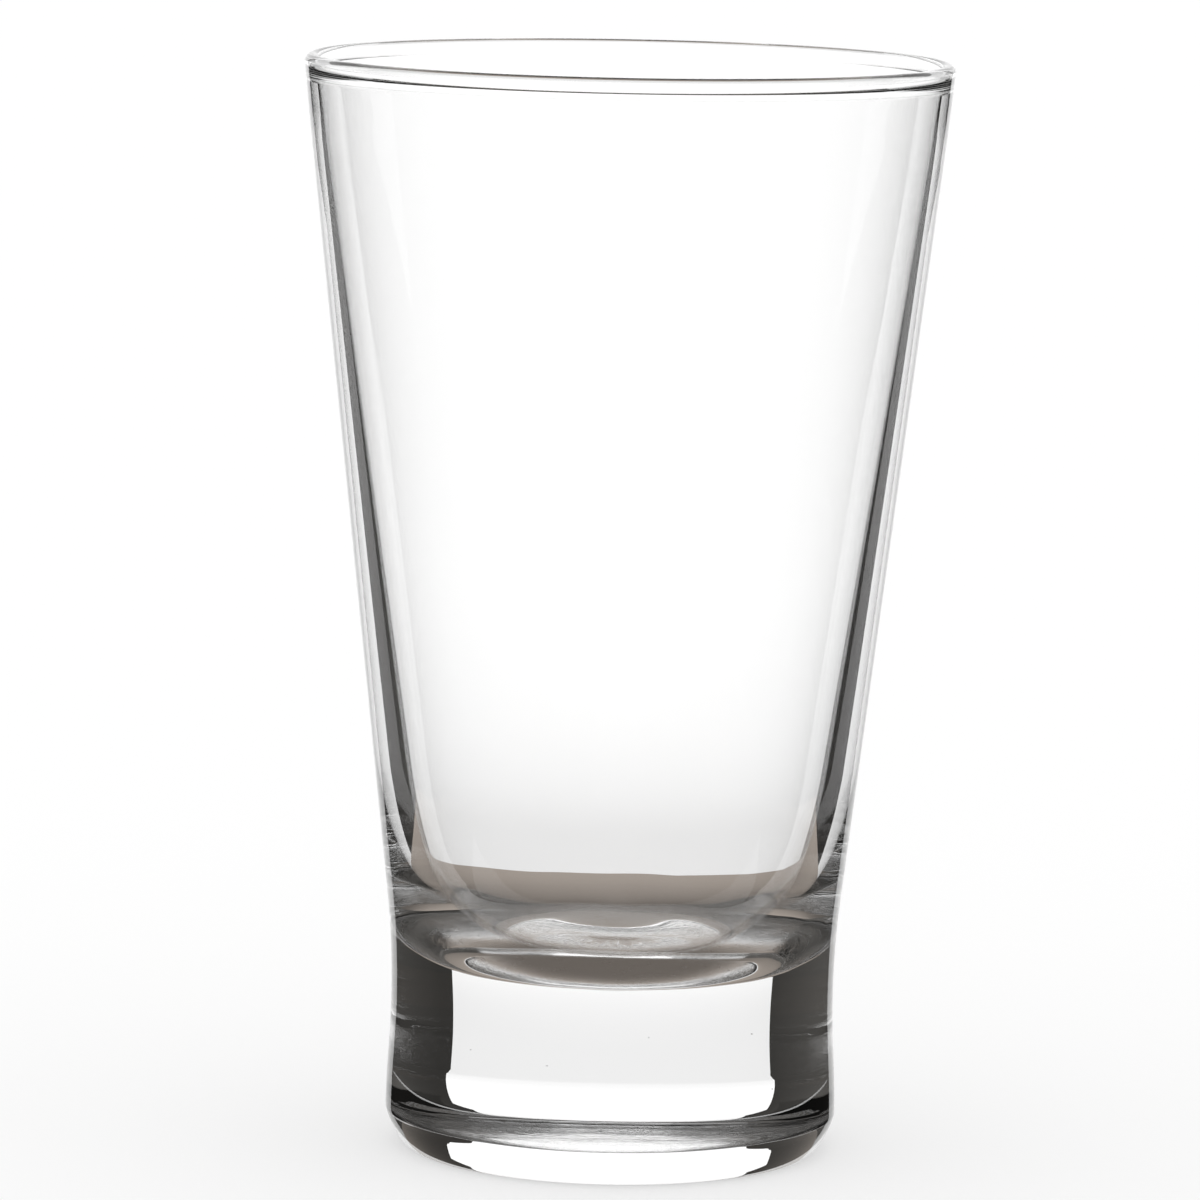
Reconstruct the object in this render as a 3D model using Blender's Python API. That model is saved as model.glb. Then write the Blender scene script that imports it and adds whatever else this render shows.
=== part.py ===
"""A heavy-footed mixing glass, turned about the Z axis as one continuous body of clear glass.

The origin is the centre of the plane that the glass stands on. All sizes are in metres.
"""

import math

import bpy

# Overall size
HEIGHT = 0.138
RIM_RADIUS = 0.0407
SEGMENTS = 80  # facets round the axis

# Foot, outside
FOOT_RADIUS = 0.02858  # widest part of the foot, at the mould seam
SEAM_HEIGHT = 0.0047  # where the rounded lower edge starts
SEAM_DEGREES = 9  # how far the surface turns inward at the seam
SEAM_PULL = 0.00195  # how far that direction reaches into the rounded edge
WAIST_RADIUS = 0.02805
WAIST_HEIGHT = 0.0192

# Underside
RING_OUTER_RADIUS = 0.0258  # outer edge of the flat ring it stands on
RING_PULL = 0.00075  # how far the flat reaches into the rounded edge
RING_INNER_RADIUS = 0.015
PUNT_HEIGHT = 0.00105  # shallow hollow inside that ring

# Bowl, outside: a cone above a soft hollow curve
CONE_LOW_HEIGHT = 0.0319
CONE_LOW_RADIUS = 0.02874
CONE_TOP_HEIGHT = 0.130
CONE_TOP_RADIUS = 0.03997

# Bowl, inside: a cone that runs into one rounded bottom
FLOOR_HEIGHT = 0.0233
FLOOR_PULL = 0.0188  # how far the level middle of the floor reaches into the curve
WALL_PULL = 0.0262  # how far down the wall's slope reaches into the curve
INNER_LOW_HEIGHT = 0.0497
INNER_LOW_RADIUS = 0.026925
INNER_TOP_RADIUS = 0.03837  # at the height where the outer cone ends

# Fire-polished bead along the rim, which meets the wall in a crease on both sides
BEAD_HALF_WIDTH = 0.00095
BEAD_HALF_HEIGHT = 0.00105
BEAD_END_DEGREES = 60  # how far round below its widest place the bead runs
BEAD_OUTER_END_DEGREES = 12  # the outer side runs on into the cone

# Points along each stretch of the profile
BOWL_POINTS = 15
BEAD_POINTS = 11
HOLLOW_POINTS = 8
SKIRT_POINTS = 6
EDGE_POINTS = 8
PUNT_POINTS = 5


def arc(centre, semi_axes, start_deg, end_deg, count):
    """Points on an ellipse arc in the (radius, height) plane, both ends included."""
    points = []
    for i in range(count):
        angle = math.radians(start_deg + (end_deg - start_deg) * i / (count - 1))
        radius = centre[0] + semi_axes[0] * math.cos(angle)
        height = centre[1] + semi_axes[1] * math.sin(angle)
        points.append((radius, height))
    return points


def curve(start, start_handle, end_handle, end, count):
    """Points on a cubic Bezier curve in the (radius, height) plane, both ends included."""
    points = []
    for i in range(count):
        t = i / (count - 1)
        weights = ((1 - t) ** 3, 3 * t * (1 - t) ** 2, 3 * t**2 * (1 - t), t**3)
        handles = (start, start_handle, end_handle, end)
        radius = sum(w * p[0] for w, p in zip(weights, handles))
        height = sum(w * p[1] for w, p in zip(weights, handles))
        points.append((radius, height))
    return points


def eased(high, high_slope, low, low_slope, count):
    """A curve down from high to low that has the given radius gained per height at each end."""
    third = (high[1] - low[1]) / 3
    high_handle = (high[0] - high_slope * third, high[1] - third)
    low_handle = (low[0] + low_slope * third, low[1] + third)
    return curve(high, high_handle, low_handle, low, count)


def inside_profile():
    """From the middle of the floor up to the bead."""
    cone_low = (INNER_LOW_RADIUS, INNER_LOW_HEIGHT)
    cone_top = (INNER_TOP_RADIUS, CONE_TOP_HEIGHT)
    slope = (cone_top[0] - cone_low[0]) / (cone_top[1] - cone_low[1])
    floor_handle = (FLOOR_PULL, FLOOR_HEIGHT)
    wall_handle = (cone_low[0] - slope * WALL_PULL, cone_low[1] - WALL_PULL)
    return curve((0.0, FLOOR_HEIGHT), floor_handle, wall_handle, cone_low, BOWL_POINTS) + [cone_top]


def rim_profile():
    """Over the bead, from its inner side to its outer side."""
    centre = (RIM_RADIUS - BEAD_HALF_WIDTH, HEIGHT - BEAD_HALF_HEIGHT)
    semi_axes = (BEAD_HALF_WIDTH, BEAD_HALF_HEIGHT)
    return arc(centre, semi_axes, 180 + BEAD_END_DEGREES, -BEAD_OUTER_END_DEGREES, BEAD_POINTS)


def outside_profile():
    """Down the cone, round the hollow curve and the waist, and round the foot's lower edge."""
    cone_top = (CONE_TOP_RADIUS, CONE_TOP_HEIGHT)
    cone_low = (CONE_LOW_RADIUS, CONE_LOW_HEIGHT)
    waist = (WAIST_RADIUS, WAIST_HEIGHT)
    seam = (FOOT_RADIUS, SEAM_HEIGHT)
    slope = (cone_top[0] - cone_low[0]) / (cone_top[1] - cone_low[1])
    hollow = eased(cone_low, slope, waist, 0, HOLLOW_POINTS)
    skirt = eased(waist, 0, seam, 0, SKIRT_POINTS)
    turn = math.radians(SEAM_DEGREES)
    seam_handle = (seam[0] - SEAM_PULL * math.sin(turn), seam[1] - SEAM_PULL * math.cos(turn))
    ring_handle = (RING_OUTER_RADIUS + RING_PULL, 0.0)
    edge = curve(seam, seam_handle, ring_handle, (RING_OUTER_RADIUS, 0.0), EDGE_POINTS)
    return [cone_top] + hollow + skirt[1:] + edge[1:]


def underside_profile():
    """In along the flat ring, then over the shallow hollow to the axis."""
    points = []
    for i in range(PUNT_POINTS):
        share = 1 - i / (PUNT_POINTS - 1)
        points.append((RING_INNER_RADIUS * share, PUNT_HEIGHT * (1 - share**2)))
    return points


def clear_glass():
    """Colourless polished glass."""
    material = bpy.data.materials.new("clear_glass")
    material.use_nodes = True
    shader = material.node_tree.nodes["Principled BSDF"]
    shader.inputs["Base Color"].default_value = (0.94, 0.95, 0.95, 1)
    shader.inputs["Roughness"].default_value = 0.02
    shader.inputs["Metallic"].default_value = 0.0
    shader.inputs["IOR"].default_value = 1.52
    shader.inputs["Transmission Weight"].default_value = 1.0
    return material


def turned_body(name, profile, material):
    """One closed body: the profile, which runs down its outer side, turned about the Z axis."""
    mesh = bpy.data.meshes.new(name)
    points = [(radius, 0.0, height) for radius, height in profile]
    mesh.from_pydata(points, [(i, i + 1) for i in range(len(points) - 1)], [])
    body = bpy.data.objects.new(name, mesh)
    bpy.context.scene.collection.objects.link(body)
    turn = body.modifiers.new("turn", "SCREW")
    turn.axis = "Z"
    turn.angle = 2 * math.pi
    turn.steps = SEGMENTS
    turn.render_steps = SEGMENTS
    turn.use_merge_vertices = True
    turn.merge_threshold = 0.00001
    turn.use_smooth_shade = True
    mesh.materials.append(material)
    return body


def main():
    for old in list(bpy.data.objects):
        bpy.data.objects.remove(old, do_unlink=True)
    profile = inside_profile() + rim_profile() + outside_profile() + underside_profile()
    turned_body("glass_body", profile, clear_glass())


main()
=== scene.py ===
"""Looks of the heavy-footed mixing glass: a fine turned surface, clear glass, a bright-field studio."""

import math

import bmesh
import bpy
from mathutils import Matrix, Vector, noise


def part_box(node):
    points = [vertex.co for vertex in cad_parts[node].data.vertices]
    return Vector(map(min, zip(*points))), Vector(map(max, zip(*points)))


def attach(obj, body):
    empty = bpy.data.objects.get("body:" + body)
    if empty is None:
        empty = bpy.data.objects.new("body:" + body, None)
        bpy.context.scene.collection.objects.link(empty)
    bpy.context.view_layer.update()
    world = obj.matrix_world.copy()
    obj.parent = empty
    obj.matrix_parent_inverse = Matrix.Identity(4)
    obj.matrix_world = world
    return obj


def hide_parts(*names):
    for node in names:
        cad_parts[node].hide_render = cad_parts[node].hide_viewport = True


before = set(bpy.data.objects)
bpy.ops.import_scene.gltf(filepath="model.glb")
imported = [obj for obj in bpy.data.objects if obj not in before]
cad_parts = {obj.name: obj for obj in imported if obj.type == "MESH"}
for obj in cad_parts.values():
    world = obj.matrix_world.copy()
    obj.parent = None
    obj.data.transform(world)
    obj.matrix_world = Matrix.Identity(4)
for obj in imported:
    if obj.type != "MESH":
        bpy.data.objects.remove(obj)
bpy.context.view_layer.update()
MM = 0.001

BOX_LOW, BOX_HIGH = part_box("glass_body")
HEIGHT = BOX_HIGH.z
RIM_RADIUS = (BOX_HIGH.x - BOX_LOW.x) / 2

# Foot, outside
FOOT_RADIUS = 28.58 * MM
SEAM_HEIGHT = 4.7 * MM  # mould seam, where the rounded lower edge starts
SEAM_DEGREES = 9  # how far the surface turns inward at the seam
SEAM_PULL = 1.95 * MM
WAIST_RADIUS = 28.05 * MM
WAIST_HEIGHT = 19.2 * MM

# Underside
RING_OUTER_RADIUS = 25.8 * MM
RING_PULL = 0.75 * MM
RING_INNER_RADIUS = 15 * MM
PUNT_HEIGHT = 1.05 * MM

# Bowl, outside
CONE_LOW_HEIGHT = 31.9 * MM
CONE_LOW_RADIUS = 28.74 * MM
CONE_TOP_HEIGHT = 130 * MM
CONE_TOP_RADIUS = 39.97 * MM

# Bowl, inside
FLOOR_HEIGHT = 23.3 * MM
FLOOR_PULL = 18.8 * MM
WALL_PULL = 26.2 * MM
INNER_LOW_HEIGHT = 49.7 * MM
INNER_LOW_RADIUS = 26.925 * MM
INNER_TOP_RADIUS = 38.37 * MM

# Bead
BEAD_HALF_WIDTH = 0.95 * MM
BEAD_HALF_HEIGHT = 1.05 * MM
BEAD_END_DEGREES = 60  # how far round below its widest place the bead runs, inside
BEAD_OUTER_END_DEGREES = 12  # the fire-polished outer side runs on into the cone

# Fineness of the turned surface
SEGMENTS = 256
FLOOR_POINTS = 90
CONE_POINTS = 40  # inside and outside
NECK_POINTS = 6  # between a cone and the bead
BEAD_POINTS = 41
HOLLOW_POINTS = 28
SKIRT_POINTS = 30
EDGE_POINTS = 36
RING_POINTS = 24
PUNT_POINTS = 30

# Unevenness of pressed and blown glass, all measured along the surface's normal
UPPER_SEAM_HEIGHT = 30.8 * MM  # where the bowl mould met the foot mould
SEAM_RIDGE = 0.012 * MM
SEAM_RIDGE_WIDTH = 0.16 * MM
FLOOR_SWIRL = 0.12 * MM
FLOOR_FADE_START = 28 * MM  # the uneven floor fades out between these heights inside the bowl
FLOOR_FADE_END = 42 * MM
FLOOR_DIP = 1.5 * MM  # at the middle of the cavity floor
FLOOR_DIP_REACH = 6 * MM
FLOOR_RING_DIP = 0.7 * MM  # where the floor turns up into the wall
FLOOR_RING_RADIUS = 14 * MM
FLOOR_RING_REACH = 4 * MM
WALL_WAVE = 0.004 * MM
FOOT_WAVE = 0.006 * MM
FOOT_FADE_START = 20 * MM  # the foot's upright streaks fade out between these heights
FOOT_FADE_END = 34 * MM
STIPPLE_WAVE = 0.06 * MM
STIPPLE_FADE = 1 * MM  # at the outer edge of the flat ring

# How closely each kind of unevenness repeats, in noise cells per metre
SWIRL_CELLS = 95
SWIRL_BEND_CELLS = 60
SWIRL_BEND = 0.9
SWIRL_SHIFT = Vector((3.1, 0, 0))
INNER_WAVE_CELLS = 70
OUTER_WAVE_CELLS = 60
WAVE_CELLS_UP = 12
INNER_WAVE_SHIFT = 7
OUTER_WAVE_SHIFT = 31
STREAK_CELLS = 420
STREAK_CELLS_UP = 45
RIDGE_CELLS = 150
RIDGE_MEAN = 0.75  # a seam's height varies about this share of the full ridge
RIDGE_CHANGE = 0.5
STIPPLE_CELLS = 420

# Small bubbles in the foot, their middles in millimetres
SEEDS = [(9, 12, 14), (-11, 4, 12), (4, -16, 17.5), (-4, 14, 9), (15, -3, 8.5), (-17, -9, 15)]
SEED_RADIUS = 0.07 * MM

# Glass material
GLASS_IOR = 1.52
UNDER_GONE_HEIGHT = 1.6 * MM  # the underside's finish is gone above this height
UNDER_FULL_HEIGHT = 1.2 * MM  # and whole below this one
UNDER_EDGE = 0.8 * MM  # it fades in over this width from the flat ring's outer edge
GROUND_SCALE = 260
GROUND_DETAIL = 3
GROUND_SPAN = (0.35, 0.65)  # the noise values that give the smoothest and the roughest patches
GROUND_ROUGHNESS = (0.05, 0.28)
PIT_SCALE = 1500
PIT_DETAIL = 2
WAVE_SCALE = 40
WAVE_DETAIL = 0
WAVE_SHARE = 0.03  # of the relief, all over the glass
RELIEF_DEPTH = 0.1 * MM

# Camera: lens in millimetres, place in metres, turns in degrees
SENSOR_WIDTH = 36
FOCAL_LENGTH = 218
CLIP_END = 100
CAMERA_PLACE = (0, -0.9084, 0.19308)
CAMERA_YAW = 0.158
CAMERA_DOWN = 7.742
CAMERA_ROLL = 1.11

# Studio, in metres
PANEL_BACK = 0.30
PANEL_HALF_WIDTH = 0.185
PANEL_UPPER_HALF_WIDTH = 0.148
PANEL_STEP = (0.072, 0.088)  # the panel narrows between these heights
PANEL_TOP = 0.5
TABLE_HEIGHT = -0.145
TABLE_HALF_WIDTH = 0.45
TABLE_FRONT = -0.9
CEILING_HEIGHT = 0.62
CEILING_HALF_WIDTH = 0.5
CEILING_FRONT = -0.3
SIDE_NEAR = 0.155
SIDE_FAR = 0.9
SIDE_LOW = 0.14
HOOD_REACH = 3.0
FLOOR_REACH = 60
FLOOR_DROP = 0.05 * MM

# Studio light
WHITE = (1, 1, 1)
# Warm tint of the table card's glow: with its dim strength this is painted shade, the pale table shaded
# under and behind the glass, not a colour of its own
TABLE_SHADE_TINT = (1.0, 0.88, 0.78)
WARM_GREY = (1.0, 0.96, 0.9)
PANEL_LIGHT = (0.93, 1.2)  # lower part, upper part
PANEL_RAMP = (-0.06, 0.02)  # from one to the other between these heights
TABLE_LIGHT = (0.14, 0.4)  # camera's side, panel's side
TABLE_RAMP = (0.03, 0.3)  # from one to the other between these distances behind the axis
SIDE_LIGHT = 0.7
CEILING_LIGHT = 0.15
HOOD_BESIDE = 0.025
HOOD_FRONT = 0.1
HOOD_LEFT_TURN = (-0.5, -1.25)  # from beside to front, in radians from straight behind the glass
HOOD_RIGHT_TURN = (0.7, 2.2)
FLOOR_COLOUR = (0.45, 0.45, 0.45, 1)
FLOOR_ROUGHNESS = 0.9
FLOOR_LIGHT = 0.54
SKY_LIGHT = 1.03


# Turned shape
def arc(centre, semi_axes, start_deg, end_deg, count):
    """Points on an ellipse arc in the (radius, height) plane, both ends included."""
    points = []
    for i in range(count):
        angle = math.radians(start_deg + (end_deg - start_deg) * i / (count - 1))
        radius = centre[0] + semi_axes[0] * math.cos(angle)
        height = centre[1] + semi_axes[1] * math.sin(angle)
        points.append((radius, height))
    return points


def curve(start, start_handle, end_handle, end, count):
    """Points on a cubic Bezier curve in the (radius, height) plane, both ends included."""
    points = []
    for i in range(count):
        t = i / (count - 1)
        weights = ((1 - t) ** 3, 3 * t * (1 - t) ** 2, 3 * t**2 * (1 - t), t**3)
        handles = (start, start_handle, end_handle, end)
        points.append(tuple(sum(w * p[axis] for w, p in zip(weights, handles)) for axis in (0, 1)))
    return points


def eased(high, high_slope, low, low_slope, count):
    """A curve down from high to low that has the given radius gained per height at each end."""
    third = (high[1] - low[1]) / 3
    high_handle = (high[0] - high_slope * third, high[1] - third)
    low_handle = (low[0] + low_slope * third, low[1] + third)
    return curve(high, high_handle, low_handle, low, count)


def straight(start, end, count):
    """Evenly spaced points, both ends included."""
    return [tuple(start[k] + (end[k] - start[k]) * i / (count - 1) for k in (0, 1)) for i in range(count)]


def inside_profile():
    """From the middle of the cavity floor up the wall."""
    low = (INNER_LOW_RADIUS, INNER_LOW_HEIGHT)
    top = (INNER_TOP_RADIUS, CONE_TOP_HEIGHT)
    slope = (top[0] - low[0]) / (top[1] - low[1])
    floor_handle = (FLOOR_PULL, FLOOR_HEIGHT)
    wall_handle = (low[0] - slope * WALL_PULL, low[1] - WALL_PULL)
    floor = curve((0.0, FLOOR_HEIGHT), floor_handle, wall_handle, low, FLOOR_POINTS)
    return floor + straight(low, top, CONE_POINTS)[1:]


def bead_profile():
    """Over the bead, from the crease inside it to the cone outside it."""
    centre = (RIM_RADIUS - BEAD_HALF_WIDTH, HEIGHT - BEAD_HALF_HEIGHT)
    semi_axes = (BEAD_HALF_WIDTH, BEAD_HALF_HEIGHT)
    return arc(centre, semi_axes, 180 + BEAD_END_DEGREES, -BEAD_OUTER_END_DEGREES, BEAD_POINTS)


def outside_profile():
    """Down the cone, the hollow above the foot, the waist and the foot's rounded edge."""
    cone_top = (CONE_TOP_RADIUS, CONE_TOP_HEIGHT)
    cone_low = (CONE_LOW_RADIUS, CONE_LOW_HEIGHT)
    slope = (cone_top[0] - cone_low[0]) / (cone_top[1] - cone_low[1])
    waist = (WAIST_RADIUS, WAIST_HEIGHT)
    seam = (FOOT_RADIUS, SEAM_HEIGHT)
    turn = math.radians(SEAM_DEGREES)
    seam_handle = (seam[0] - SEAM_PULL * math.sin(turn), seam[1] - SEAM_PULL * math.cos(turn))
    ring_handle = (RING_OUTER_RADIUS + RING_PULL, 0.0)
    points = straight(cone_top, cone_low, CONE_POINTS)
    points += eased(cone_low, slope, waist, 0, HOLLOW_POINTS)[1:]
    points += eased(waist, 0, seam, 0, SKIRT_POINTS)[1:]
    return points + curve(seam, seam_handle, ring_handle, (RING_OUTER_RADIUS, 0.0), EDGE_POINTS)[1:]


def underside_profile():
    """In along the flat ring, then over the shallow hollow to the axis."""
    points = straight((RING_OUTER_RADIUS, 0.0), (RING_INNER_RADIUS, 0.0), RING_POINTS)[1:]
    for i in range(1, PUNT_POINTS):
        share = 1 - i / (PUNT_POINTS - 1)
        points.append((RING_INNER_RADIUS * share, PUNT_HEIGHT * (1 - share**2)))
    return points


def profile():
    """The whole outline from floor to underside, as pairs of a stretch's name and a point."""
    inside = inside_profile()
    bead = bead_profile()
    outside = outside_profile()
    inner_neck = straight(inside[-1], bead[0], NECK_POINTS)[1:-1]
    outer_neck = straight(bead[-1], outside[0], NECK_POINTS)[1:-1]
    parts = [("inside", inside + inner_neck), ("bead", bead)]
    parts += [("outside", outer_neck + outside), ("under", underside_profile())]
    return [(stretch, point) for stretch, points in parts for point in points]


def smooth(low, high, value):
    """0 below low, 1 above high, eased between."""
    t = min(1.0, max(0.0, (value - low) / (high - low)))
    return t * t * (3 - 2 * t)


def bell(distance, reach):
    """1 at no distance, and nearly 0 beyond twice the reach."""
    return math.exp(-((distance / reach) ** 2))


def upright_noise(spot, height, cells, cells_up, shift=0):
    """Noise whose features are drawn out upwards."""
    return noise.noise(Vector((spot.x * cells, spot.y * cells, height * cells_up + shift)))


def inside_unevenness(spot, radius, height):
    """Swirls and dips in the cavity floor, and slight waves up the wall."""
    # noise_vector takes its offsets from the clock, so the swirls' paths differ from run to run
    bend = noise.noise_vector(spot * SWIRL_BEND_CELLS) * SWIRL_BEND
    swirl = noise.noise(spot * SWIRL_CELLS + SWIRL_SHIFT + bend)
    dip = FLOOR_DIP * bell(radius, FLOOR_DIP_REACH)
    dip += FLOOR_RING_DIP * bell(radius - FLOOR_RING_RADIUS, FLOOR_RING_REACH)
    fade = 1 - smooth(FLOOR_FADE_START, FLOOR_FADE_END, height)
    wave = upright_noise(spot, height, INNER_WAVE_CELLS, WAVE_CELLS_UP, INNER_WAVE_SHIFT)
    return (swirl * FLOOR_SWIRL - dip) * fade + wave * WALL_WAVE


def outside_unevenness(spot, height):
    """Slight waves, upright streaks on the foot, and the two mould seams."""
    wave = upright_noise(spot, height, OUTER_WAVE_CELLS, WAVE_CELLS_UP, OUTER_WAVE_SHIFT) * WALL_WAVE
    streak = upright_noise(spot, height, STREAK_CELLS, STREAK_CELLS_UP)
    foot = streak * FOOT_WAVE * (1 - smooth(FOOT_FADE_START, FOOT_FADE_END, height))
    ridges = sum(bell(height - seam, SEAM_RIDGE_WIDTH) for seam in (SEAM_HEIGHT, UPPER_SEAM_HEIGHT))
    rise = RIDGE_MEAN + RIDGE_CHANGE * noise.noise(spot * RIDGE_CELLS)
    return (wave + foot) * smooth(0, SEAM_HEIGHT, height) + ridges * rise * SEAM_RIDGE


def under_unevenness(spot, radius):
    """Stipple on the underside, only ever into the glass, so the ring still stands at height 0."""
    fade = 1 - smooth(RING_OUTER_RADIUS - STIPPLE_FADE, RING_OUTER_RADIUS, radius)
    return -abs(noise.noise(spot * STIPPLE_CELLS)) * STIPPLE_WAVE * fade


def unevenness(stretch, radius, height, angle):
    """How far the real surface stands off the turned shape; the fire-polished bead is even."""
    spot = Vector((radius * math.cos(angle), radius * math.sin(angle), height))
    if stretch == "inside":
        return inside_unevenness(spot, radius, height)
    if stretch == "outside":
        return outside_unevenness(spot, height)
    if stretch == "under":
        return under_unevenness(spot, radius)
    return 0.0


def add_seed(bm, centre):
    """A tiny round bubble: a closed skin that faces its own middle."""
    place = Matrix.Translation(Vector(centre) * MM)
    bubble = bmesh.ops.create_icosphere(bm, subdivisions=2, radius=SEED_RADIUS, matrix=place)
    skin = {face for vert in bubble["verts"] for face in vert.link_faces}
    bmesh.ops.reverse_faces(bm, faces=list(skin))


def turned_mesh(name):
    """The profile turned about the Z axis, moved along its normal by the unevenness of the glass."""
    outline = profile()
    points = [point for _, point in outline]
    bm = bmesh.new()
    rings = []
    for i, (stretch, (radius, height)) in enumerate(outline):
        before = points[max(i - 1, 0)]
        after = points[min(i + 1, len(points) - 1)]
        along = Vector((after[0] - before[0], after[1] - before[1])).normalized()
        out = Vector((-along.y, along.x))  # away from the glass, in the (radius, height) plane
        ring = []
        for k in range(SEGMENTS if radius > 0 else 1):
            angle = 2 * math.pi * k / SEGMENTS
            off = unevenness(stretch, radius, height, angle)
            r = radius + out.x * off
            z = height + out.y * off
            ring.append(bm.verts.new((r * math.cos(angle), r * math.sin(angle), z)))
        rings.append(ring)
    for near, far in zip(rings, rings[1:]):
        for k in range(SEGMENTS):
            corners = [near[k % len(near)], far[k % len(far)]]
            corners += [far[(k + 1) % len(far)], near[(k + 1) % len(near)]]
            bm.faces.new(list(dict.fromkeys(corners)))
    bmesh.ops.recalc_face_normals(bm, faces=bm.faces)
    for centre in SEEDS:
        add_seed(bm, centre)
    mesh = bpy.data.meshes.new(name)
    bm.to_mesh(mesh)
    bm.free()
    mesh.shade_smooth()
    return mesh


# Shader nodes
def coordinates(tree):
    """The object's own coordinates: the whole vector, and its X, Y and Z by name."""
    place = tree.nodes.new("ShaderNodeTexCoord")
    split = tree.nodes.new("ShaderNodeSeparateXYZ")
    tree.links.new(place.outputs["Object"], split.inputs["Vector"])
    return place.outputs["Object"], split.outputs


def maths(tree, operation, *values):
    """A Math node; each value is a number or another node's output."""
    node = tree.nodes.new("ShaderNodeMath")
    node.operation = operation
    for socket, value in zip(node.inputs, values):
        if isinstance(value, (int, float)):
            socket.default_value = value
        else:
            tree.links.new(value, socket)
    return node.outputs["Value"]


def mapped(tree, value, span, result, interpolation="SMOOTHSTEP"):
    """Goes from result[0] to result[1] as the value goes from span[0] to span[1]."""
    node = tree.nodes.new("ShaderNodeMapRange")
    node.interpolation_type = interpolation
    tree.links.new(value, node.inputs["Value"])
    for name, number in zip(("From Min", "From Max", "To Min", "To Max"), (*span, *result)):
        node.inputs[name].default_value = number
    return node.outputs["Result"]


def noise_texture(tree, place, scale, detail):
    """Noise between 0 and 1 over the given coordinates."""
    node = tree.nodes.new("ShaderNodeTexNoise")
    tree.links.new(place, node.inputs["Vector"])
    node.inputs["Scale"].default_value = scale
    node.inputs["Detail"].default_value = detail
    return node.outputs["Fac"]


def distance_from_axis(tree, axes):
    """The length of the X and Y coordinates together."""
    flat = tree.nodes.new("ShaderNodeCombineXYZ")
    tree.links.new(axes["X"], flat.inputs["X"])
    tree.links.new(axes["Y"], flat.inputs["Y"])
    length = tree.nodes.new("ShaderNodeVectorMath")
    length.operation = "LENGTH"
    tree.links.new(flat.outputs["Vector"], length.inputs[0])
    return length.outputs["Value"]


def clear_glass():
    """Polished glass with faint waves, and a ground, stippled underside."""
    material = bpy.data.materials.new("clear_glass")
    material.use_nodes = True
    tree = material.node_tree
    shader = tree.nodes["Principled BSDF"]
    shader.inputs["Base Color"].default_value = (*WHITE, 1)
    shader.inputs["IOR"].default_value = GLASS_IOR
    shader.inputs["Transmission Weight"].default_value = 1.0

    place, axes = coordinates(tree)
    low = mapped(tree, axes["Z"], (UNDER_GONE_HEIGHT, UNDER_FULL_HEIGHT), (0, 1))
    ring_edge = (RING_OUTER_RADIUS, RING_OUTER_RADIUS - UNDER_EDGE)
    within = mapped(tree, distance_from_axis(tree, axes), ring_edge, (0, 1))
    under = maths(tree, "MULTIPLY", low, within)

    patches = noise_texture(tree, place, GROUND_SCALE, GROUND_DETAIL)
    ground = mapped(tree, patches, GROUND_SPAN, GROUND_ROUGHNESS, "LINEAR")
    tree.links.new(maths(tree, "MULTIPLY", ground, under), shader.inputs["Roughness"])

    pits = maths(tree, "MULTIPLY", noise_texture(tree, place, PIT_SCALE, PIT_DETAIL), under)
    waves = noise_texture(tree, place, WAVE_SCALE, WAVE_DETAIL)
    relief = maths(tree, "MULTIPLY_ADD", waves, WAVE_SHARE, pits)
    bump = tree.nodes.new("ShaderNodeBump")
    tree.links.new(relief, bump.inputs["Height"])
    bump.inputs["Strength"].default_value = 1.0
    bump.inputs["Distance"].default_value = RELIEF_DEPTH
    tree.links.new(bump.outputs["Normal"], shader.inputs["Normal"])
    return material


body = bpy.data.objects.new("glass", turned_mesh("glass"))
bpy.context.scene.collection.objects.link(body)
body.data.materials.append(clear_glass())
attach(body, "root")
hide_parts("glass_body")


# Camera
def camera():
    """The photograph's view: a little from above, about 0.93 metres away."""
    data = bpy.data.cameras.new("camera")
    data.sensor_width = SENSOR_WIDTH
    data.lens = FOCAL_LENGTH
    data.clip_end = CLIP_END
    cam = bpy.data.objects.new("camera", data)
    bpy.context.scene.collection.objects.link(cam)
    yaw = Matrix.Rotation(math.radians(CAMERA_YAW), 4, "Z")
    pitch = Matrix.Rotation(math.radians(90 - CAMERA_DOWN), 4, "X")
    roll = Matrix.Rotation(math.radians(CAMERA_ROLL), 4, "Z")
    cam.matrix_world = Matrix.Translation(CAMERA_PLACE) @ yaw @ pitch @ roll
    bpy.context.scene.camera = cam
    return cam


# Studio
def glow(name, colour, strength):
    """A material that only gives light; strength is a number, or a function that makes it in nodes."""
    material = bpy.data.materials.new(name)
    material.use_nodes = True
    tree = material.node_tree
    tree.nodes.clear()
    out = tree.nodes.new("ShaderNodeOutputMaterial")
    emit = tree.nodes.new("ShaderNodeEmission")
    emit.inputs["Color"].default_value = (*colour, 1)
    if callable(strength):
        tree.links.new(strength(tree), emit.inputs["Strength"])
    else:
        emit.inputs["Strength"].default_value = strength
    tree.links.new(emit.outputs["Emission"], out.inputs["Surface"])
    return material


def panel_light(tree):
    """Dimmer in the panel's lower part, which stands for its reflection in the table."""
    _, axes = coordinates(tree)
    return mapped(tree, axes["Z"], PANEL_RAMP, PANEL_LIGHT)


def table_light(tree):
    """Lighter towards the panel that lights the table."""
    _, axes = coordinates(tree)
    return mapped(tree, axes["Y"], TABLE_RAMP, TABLE_LIGHT)


def hood_light(tree):
    """Dark beside the panel, and less dark towards the camera's side of the room."""
    _, axes = coordinates(tree)
    turn = maths(tree, "ARCTAN2", axes["X"], axes["Y"])  # 0 straight behind the glass
    left = mapped(tree, turn, HOOD_LEFT_TURN, (HOOD_BESIDE, HOOD_FRONT), "LINEAR")
    right = mapped(tree, turn, HOOD_RIGHT_TURN, (0, HOOD_FRONT - HOOD_BESIDE), "LINEAR")
    return maths(tree, "ADD", left, right)


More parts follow.
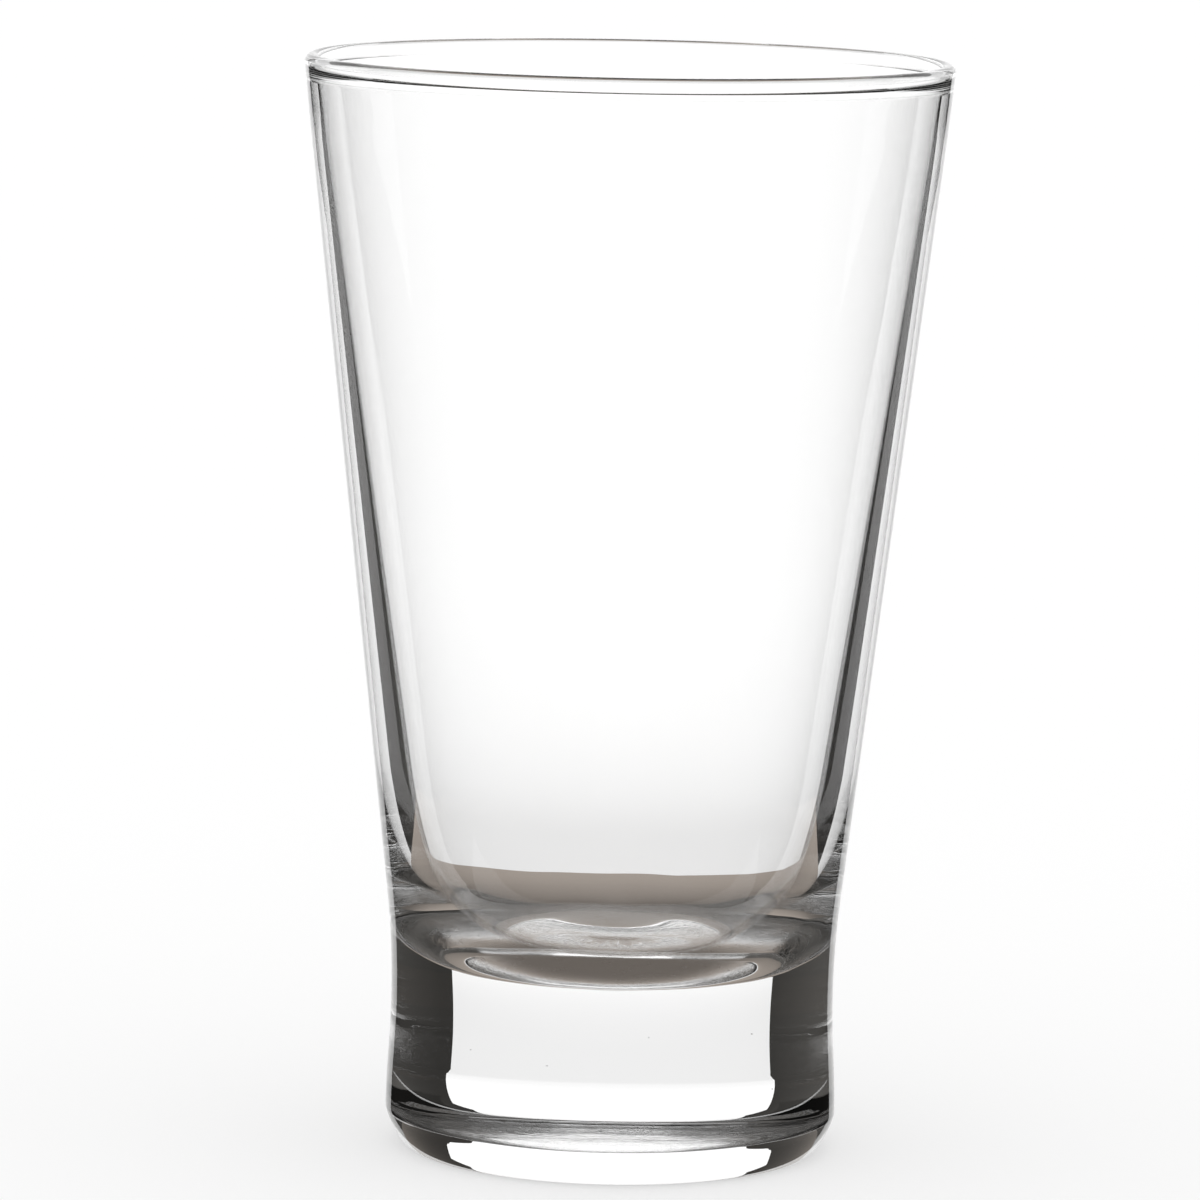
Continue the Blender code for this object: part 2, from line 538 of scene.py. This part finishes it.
def stage_mesh(name, corners, faces, material, rig):
    """A piece of the studio that is seen only in the glass."""
    mesh = bpy.data.meshes.new(name)
    mesh.from_pydata(corners, [], faces)
    mesh.materials.append(material)
    piece = bpy.data.objects.new(name, mesh)
    bpy.context.scene.collection.objects.link(piece)
    piece.parent = rig
    piece.visible_camera = False
    piece.visible_diffuse = False
    piece.visible_shadow = False


def square(reach):
    """The (x, y) corners of a square about the axis."""
    return [(-reach, -reach), (reach, -reach), (reach, reach), (-reach, reach)]


def card(name, low, high, material, rig):
    """A rectangle between two opposite corners, upright where both have the same Y, otherwise level."""
    upright = low[1] == high[1]
    last = (low[0], low[1], high[2]) if upright else (low[0], high[1], low[2])
    corners = [low, (high[0], low[1], low[2]), high, last]
    stage_mesh(name, corners, [(0, 1, 2, 3)], material, rig)


def hood(rig):
    """A dim box round everything."""
    corners = [(x, y, z) for z in (-HOOD_REACH, HOOD_REACH) for x, y in square(HOOD_REACH)]
    sides = [(0, 1, 2, 3), (4, 5, 6, 7), (0, 1, 5, 4), (1, 2, 6, 5), (2, 3, 7, 6), (3, 0, 4, 7)]
    stage_mesh("hood", corners, sides, glow("hood_dim", WARM_GREY, hood_light), rig)


def back_panel(rig):
    """The lit panel behind the glass, narrower in its upper part."""
    outline = [(PANEL_HALF_WIDTH, TABLE_HEIGHT), (PANEL_HALF_WIDTH, PANEL_STEP[0])]
    outline += [(PANEL_UPPER_HALF_WIDTH, PANEL_STEP[1]), (PANEL_UPPER_HALF_WIDTH, PANEL_TOP)]
    corners = [(x, PANEL_BACK, z) for x, z in outline]
    corners += [(-x, PANEL_BACK, z) for x, z in reversed(outline)]
    stage_mesh("back_panel", corners, [tuple(range(8))], glow("panel_white", WHITE, panel_light), rig)


def studio(cam):
    """The panel, cards and hood that the glass shows, all turned to face the camera."""
    rig = bpy.data.objects.new("rig", None)
    bpy.context.scene.collection.objects.link(rig)
    facing = rig.constraints.new("LOCKED_TRACK")
    facing.target = cam
    facing.track_axis = "TRACK_NEGATIVE_Y"
    facing.lock_axis = "LOCK_Z"

    hood(rig)
    back_panel(rig)
    table_low = (-TABLE_HALF_WIDTH, TABLE_FRONT, TABLE_HEIGHT)
    table_high = (TABLE_HALF_WIDTH, PANEL_BACK, TABLE_HEIGHT)
    # The table card glows dim taupe: painted shade of the table under the glass, lighter towards the
    # panel
    card("table_card", table_low, table_high, glow("table_shade_glow", TABLE_SHADE_TINT, table_light), rig)
    side_glow = glow("side_grey", WHITE, SIDE_LIGHT)
    for side in (-1, 1):
        side_low = (side * SIDE_NEAR, PANEL_BACK, SIDE_LOW)
        side_high = (side * SIDE_FAR, PANEL_BACK, PANEL_TOP)
        card("side_card", side_low, side_high, side_glow, rig)
    ceiling_low = (-CEILING_HALF_WIDTH, CEILING_FRONT, CEILING_HEIGHT)
    ceiling_high = (CEILING_HALF_WIDTH, PANEL_BACK, CEILING_HEIGHT)
    card("ceiling_card", ceiling_low, ceiling_high, glow("ceiling_grey", WHITE, CEILING_LIGHT), rig)


def pale_floor():
    """A plain pale floor, slightly lit from within so that the glass's shadow stays soft."""
    pale = bpy.data.materials.new("floor_pale")
    pale.use_nodes = True
    shader = pale.node_tree.nodes["Principled BSDF"]
    shader.inputs["Base Color"].default_value = FLOOR_COLOUR
    shader.inputs["Roughness"].default_value = FLOOR_ROUGHNESS
    shader.inputs["Specular IOR Level"].default_value = 0.0
    shader.inputs["Emission Color"].default_value = (*WHITE, 1)
    shader.inputs["Emission Strength"].default_value = FLOOR_LIGHT
    mesh = bpy.data.meshes.new("floor")
    mesh.from_pydata([(x, y, 0) for x, y in square(FLOOR_REACH)], [], [(0, 1, 2, 3)])
    mesh.materials.append(pale)
    floor = bpy.data.objects.new("floor", mesh)
    bpy.context.scene.collection.objects.link(floor)
    floor.location.z = -FLOOR_DROP
    floor.visible_transmission = False
    floor.visible_glossy = False


def sky():
    """Even white light from all round."""
    world = bpy.data.worlds.new("studio")
    world.use_nodes = True
    background = world.node_tree.nodes["Background"]
    background.inputs["Color"].default_value = (*WHITE, 1)
    background.inputs["Strength"].default_value = SKY_LIGHT
    bpy.context.scene.world = world


studio(camera())
pale_floor()
sky()

scene = bpy.context.scene
scene.view_settings.view_transform = "Standard"
scene.cycles.max_bounces = 24
scene.cycles.transmission_bounces = 24
scene.cycles.glossy_bounces = 16
scene.cycles.diffuse_bounces = 3
